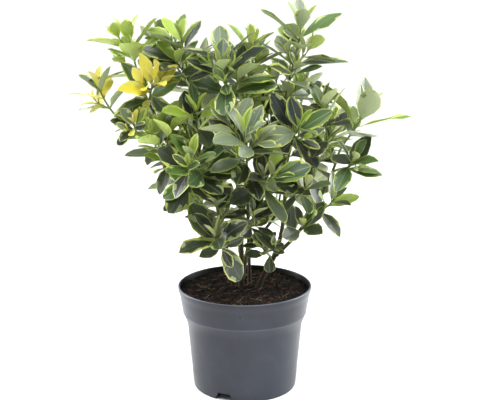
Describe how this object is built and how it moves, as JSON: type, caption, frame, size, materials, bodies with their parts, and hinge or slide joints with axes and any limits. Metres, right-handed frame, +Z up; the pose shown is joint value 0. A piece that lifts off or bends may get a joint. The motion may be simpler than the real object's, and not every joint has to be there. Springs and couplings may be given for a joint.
{
  "type": "potted japanese spindle shrub",
  "caption": "Small bushy evergreen shrub with cream-edged green leaves on upright branching stems, growing in a round tapered dark plastic nursery pot filled with peat.",
  "frame": {"origin": "centre of the pot's flat underside", "axes": "+Z up along the pot's axis and the stems, -Y towards the front that the picture shows, +X to its right"},
  "size_m": [0.4497, 0.3379, 0.5516],
  "materials": {
    "pot_plastic": "satin blue-grey moulded plastic",
    "peat": "loose dark fibrous peat",
    "bark": "matt olive-brown bark",
    "green_bough": "smooth green bark",
    "leaf_green": "glossy dark green with cream-yellow margins",
    "leaf_lime": "glossy lime green with yellow margins",
    "leaf_gold": "satin golden yellow"
  },
  "bodies": {
    "root": {"pot": "pot_plastic", "soil": "peat", "stem_left": "bark", "stem_middle": "bark", "stem_slim": "bark", "stem_right": "bark", "stem_back": "bark", "bough_left_low": "green_bough", "bough_front_low": "green_bough", "bough_left_high": "green_bough", "bough_far_left": "green_bough", "bough_upper_left": "green_bough", "bough_top_left": "green_bough", "bough_top_centre": "green_bough", "bough_centre_front": "green_bough", "bough_tall": "green_bough", "bough_right_outer": "green_bough", "bough_right_high": "green_bough", "bough_back_centre": "green_bough", "bough_back_left": "green_bough", "bough_back_right": "green_bough", "foliage_upper_left": "leaf_lime", "foliage_golden_left": "leaf_gold", "foliage_far_left": "leaf_gold", "foliage_far_left_low": "leaf_green", "foliage_top_left": "leaf_green", "foliage_top_left_front": "leaf_green", "foliage_top_left_back": "leaf_green", "foliage_left_middle": "leaf_green", "foliage_left_shoot": "leaf_green", "foliage_left_front": "leaf_green", "foliage_left_low": "leaf_green", "foliage_left_inner": "leaf_green", "foliage_low_front": "leaf_green", "foliage_front_top": "leaf_green", "foliage_top_centre": "leaf_green", "foliage_centre_front": "leaf_green", "foliage_right_front": "leaf_green", "foliage_middle_low": "leaf_green", "foliage_tall_right": "leaf_green", "foliage_middle_right": "leaf_green", "foliage_inner": "leaf_green", "foliage_right_inner": "leaf_green", "foliage_right_tip": "leaf_green", "foliage_right_upper": "leaf_green", "foliage_right_side": "leaf_green", "foliage_right_low": "leaf_green", "foliage_low_right": "leaf_green", "foliage_low_middle": "leaf_green", "foliage_slim_left": "leaf_green", "foliage_slim_right": "leaf_green", "foliage_back_centre": "leaf_green", "foliage_back_top": "leaf_green", "foliage_back_left": "leaf_green", "foliage_back_left_low": "leaf_green", "foliage_back_right": "leaf_green", "foliage_back_right_low": "leaf_green", "foliage_back_right_top": "leaf_green", "foliage_back_low": "leaf_green"}
  },
  "joints": []
}
